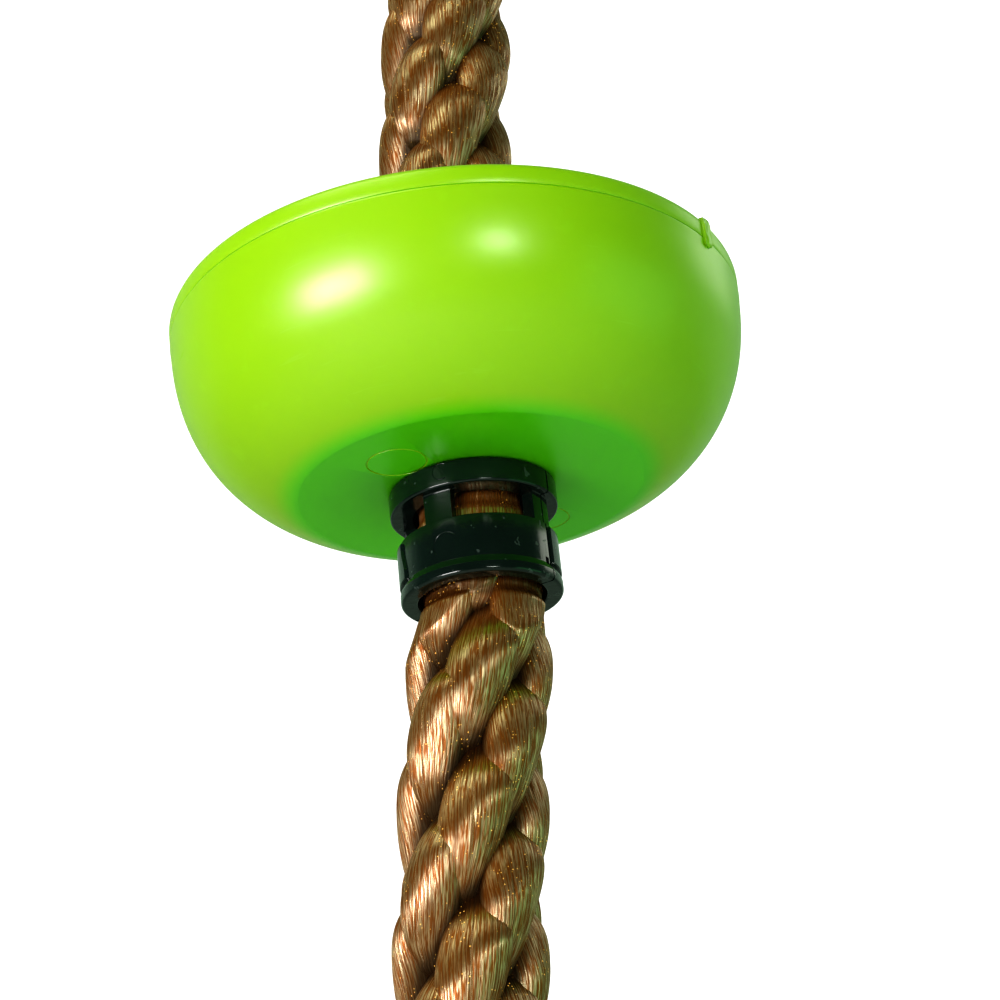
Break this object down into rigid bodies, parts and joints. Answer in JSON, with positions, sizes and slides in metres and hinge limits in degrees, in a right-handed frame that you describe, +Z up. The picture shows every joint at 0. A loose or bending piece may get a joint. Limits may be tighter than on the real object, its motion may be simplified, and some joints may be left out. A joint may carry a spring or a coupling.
{
  "type": "climbing rope foot platform",
  "caption": "Braided climbing-rope swing station: a bowl-shaped foot platform threaded on a thick rope and held by a two-half lock collar.",
  "frame": {"origin": "on the platform's axis, level with the rope's lower end, at the bottom centre of the whole part", "axes": "+Z up along the platform's axis; -Y faces the side seen first; +X to that side's right"},
  "size_m": [0.12, 0.12, 0.247],
  "materials": {
    "yarn_01": "glossy bronze-brown filament yarn",
    "yarn_02": "glossy bronze-brown filament yarn",
    "yarn_03": "glossy bronze-brown filament yarn",
    "yarn_04": "glossy bronze-brown filament yarn",
    "yarn_05": "glossy bronze-brown filament yarn",
    "yarn_06": "glossy bronze-brown filament yarn",
    "yarn_07": "glossy bronze-brown filament yarn",
    "yarn_08": "glossy bronze-brown filament yarn",
    "yarn_09": "glossy bronze-brown filament yarn",
    "yarn_10": "glossy bronze-brown filament yarn",
    "yarn_11": "glossy bronze-brown filament yarn",
    "yarn_12": "glossy bronze-brown filament yarn",
    "core_yarn": "matt yarn",
    "lime_plastic": "glossy moulded",
    "lime_tread_plastic": "glossy moulded with anti-slip rings",
    "black_plastic": "glossy moulded",
    "black_plastic_rear": "glossy moulded"
  },
  "bodies": {
    "rope_upper": {"strand_01_upper": "yarn_01", "strand_02_upper": "yarn_02", "strand_03_upper": "yarn_03", "strand_04_upper": "yarn_04", "strand_05_upper": "yarn_05", "strand_06_upper": "yarn_06", "strand_07_upper": "yarn_07", "strand_08_upper": "yarn_08", "strand_09_upper": "yarn_09", "strand_10_upper": "yarn_10", "strand_11_upper": "yarn_11", "strand_12_upper": "yarn_12"},
    "upper_knuckle": {"core_upper_bend": "core_yarn"},
    "rope_middle": {"strand_01_middle": "yarn_01", "strand_02_middle": "yarn_02", "strand_03_middle": "yarn_03", "strand_04_middle": "yarn_04", "strand_05_middle": "yarn_05", "strand_06_middle": "yarn_06", "strand_07_middle": "yarn_07", "strand_08_middle": "yarn_08", "strand_09_middle": "yarn_09", "strand_10_middle": "yarn_10", "strand_11_middle": "yarn_11", "strand_12_middle": "yarn_12"},
    "platform": {"platform_bowl": "lime_plastic", "platform_tread": "lime_tread_plastic"},
    "collar_front": {"collar_front_half": "black_plastic"},
    "collar_rear": {"collar_rear_half": "black_plastic_rear"},
    "lower_knuckle": {"core_lower_bend": "core_yarn"},
    "rope_lower": {"strand_01_lower": "yarn_01", "strand_02_lower": "yarn_02", "strand_03_lower": "yarn_03", "strand_04_lower": "yarn_04", "strand_05_lower": "yarn_05", "strand_06_lower": "yarn_06", "strand_07_lower": "yarn_07", "strand_08_lower": "yarn_08", "strand_09_lower": "yarn_09", "strand_10_lower": "yarn_10", "strand_11_lower": "yarn_11", "strand_12_lower": "yarn_12"}
  },
  "joints": [
    {"name": "upper_swing_side", "type": "hinge", "parent": "rope_upper", "child": "upper_knuckle", "pos_m": [0.0001, 0, 0.167], "axis": [0, 1, 0], "range_deg": [-20, 20]},
    {"name": "upper_swing_fore", "type": "hinge", "parent": "upper_knuckle", "child": "rope_middle", "pos_m": [0.0001, 0, 0.167], "axis": [1, 0, 0], "range_deg": [-20, 20]},
    {"name": "platform_spin", "type": "hinge", "parent": "rope_middle", "child": "platform", "pos_m": [0, 0, 0.128], "axis": [0, 0, 1], "continuous": true},
    {"name": "collar_front_release", "type": "slide", "parent": "rope_middle", "child": "collar_front", "axis": [-0.454, -0.891, 0], "range_m": [0, 0.025]},
    {"name": "collar_rear_release", "type": "slide", "parent": "rope_middle", "child": "collar_rear", "axis": [0.454, 0.891, 0], "range_m": [0, 0.025]},
    {"name": "lower_swing_side", "type": "hinge", "parent": "rope_middle", "child": "lower_knuckle", "pos_m": [-0.00044, 0, 0.077], "axis": [0, 1, 0], "range_deg": [-20, 20]},
    {"name": "lower_swing_fore", "type": "hinge", "parent": "lower_knuckle", "child": "rope_lower", "pos_m": [-0.00044, 0, 0.077], "axis": [1, 0, 0], "range_deg": [-20, 20]}
  ]
}
